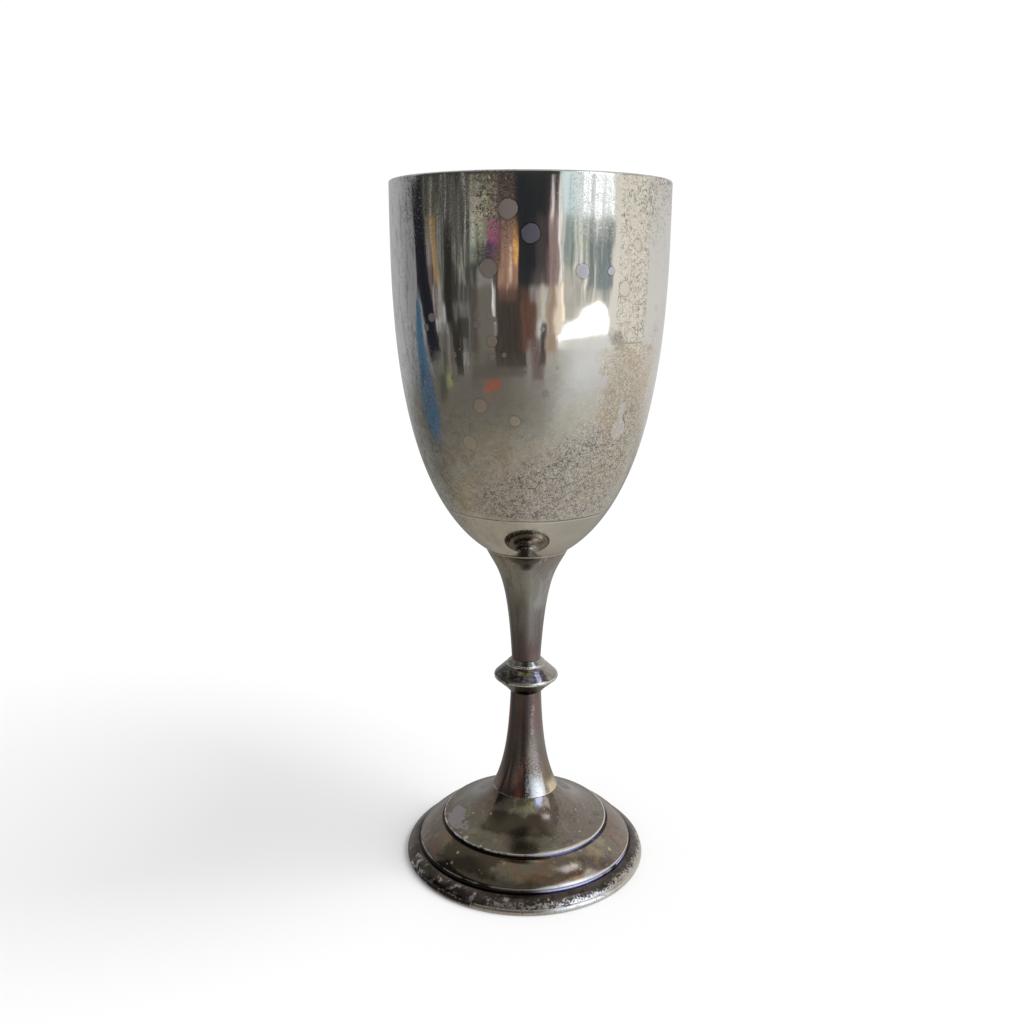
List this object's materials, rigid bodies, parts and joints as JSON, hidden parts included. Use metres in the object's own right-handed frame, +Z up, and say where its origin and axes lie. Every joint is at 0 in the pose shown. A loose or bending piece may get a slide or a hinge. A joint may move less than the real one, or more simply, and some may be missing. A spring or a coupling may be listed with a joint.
{
  "type": "communion chalice",
  "caption": "Silver-plated communion chalice with a deep tapering bowl, a slender stem with a knop, and a stepped round foot.",
  "frame": {"origin": "centre of the base, on the table", "axes": "+Z up along the axis of the stem and bowl; +X and +Y are alike, because the chalice is round"},
  "size_m": [0.0612, 0.0612, 0.16],
  "materials": {
    "polished_silver": "polished",
    "tarnished_silver": "gloss",
    "blackened_silver": "gloss",
    "worn_silver": "satin",
    "brass": "satin",
    "steel": "satin"
  },
  "bodies": {
    "root": {"bowl": "polished_silver", "bowl_boss": "brass", "upper_stem": "tarnished_silver", "knop": "blackened_silver", "lower_stem": "blackened_silver", "foot": "tarnished_silver", "foot_wire": "worn_silver", "clamp_plate": "brass", "washer": "steel", "nut": "steel", "tie_rod": "steel"}
  },
  "joints": []
}
